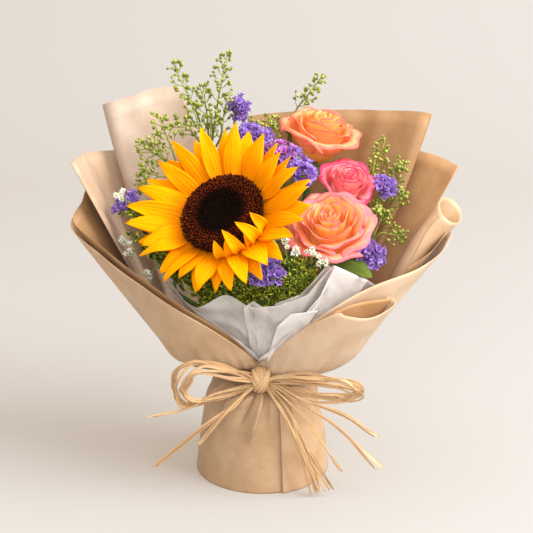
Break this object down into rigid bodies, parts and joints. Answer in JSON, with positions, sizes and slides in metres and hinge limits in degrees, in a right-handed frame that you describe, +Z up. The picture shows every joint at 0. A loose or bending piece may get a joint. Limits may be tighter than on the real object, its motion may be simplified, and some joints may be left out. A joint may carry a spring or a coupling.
{
  "type": "mixed flower bouquet",
  "caption": "Hand-tied bouquet of a sunflower, spray roses, violet statice and seed sprays in a flared brown paper wrap, bound with raffia and standing on its paper foot.",
  "frame": {"origin": "centre of the bounding box, on the surface that the paper foot stands on", "axes": "+Z up through the tie, -Y towards the front where the bow is, +X to the right seen from the front"},
  "size_m": [0.3272, 0.2252, 0.3637],
  "materials": {
    "kraft_paper": "brown kraft paper with fine fibres",
    "tissue_paper": "thin white translucent tissue",
    "raffia": "dry straw-coloured raffia",
    "sunflower_ray": "matt golden petals with fine veins",
    "sunflower_disc": "dark brown florets",
    "rose_peach": "soft peach petals with pink rims",
    "rose_orange": "soft orange petals",
    "rose_pink": "soft pink petals",
    "statice_violet": "papery violet florets",
    "statice_magenta": "papery magenta florets",
    "green_stem": "fresh green stem and leaf",
    "green_filler": "dark green small leaves"
  },
  "bodies": {
    "root": {"green_filler_front_left": "green_filler", "green_filler_front_right": "green_filler", "green_filler_left": "green_filler", "kraft_back_left": "kraft_paper", "kraft_back_right": "kraft_paper", "kraft_foot_sleeve": "kraft_paper", "kraft_front_curl": "kraft_paper", "kraft_left_outer": "kraft_paper", "kraft_right_outer": "kraft_paper", "kraft_right_roll": "kraft_paper", "kraft_side_left": "kraft_paper", "kraft_side_right": "kraft_paper", "raffia_band": "raffia", "raffia_bow": "raffia", "rose_front_petals": "rose_peach", "rose_front_stem": "green_stem", "rose_pink_petals": "rose_pink", "rose_pink_stem": "green_stem", "rose_top_petals": "rose_orange", "rose_top_stem": "green_stem", "seed_spray_back_left": "green_stem", "seed_spray_back_right": "green_stem", "seed_spray_left": "green_stem", "seed_spray_low_right": "green_stem", "seed_spray_middle": "green_stem", "seed_spray_right": "green_stem", "statice_left_head": "statice_violet", "statice_left_stem": "green_stem", "statice_low_head": "statice_violet", "statice_low_right_head": "statice_violet", "statice_low_stem": "green_stem", "statice_magenta_head": "statice_magenta", "statice_middle_head": "statice_violet", "statice_middle_stem": "green_stem", "statice_right_head": "statice_violet", "statice_right_stem": "green_stem", "statice_top_head": "statice_violet", "statice_top_stem": "green_stem", "statice_top_tip": "statice_violet", "sunflower_calyx_stem": "green_stem", "sunflower_disc": "sunflower_disc", "sunflower_rays": "sunflower_ray", "tissue_inner": "tissue_paper", "tissue_left": "tissue_paper", "tissue_right": "tissue_paper"}
  },
  "joints": []
}
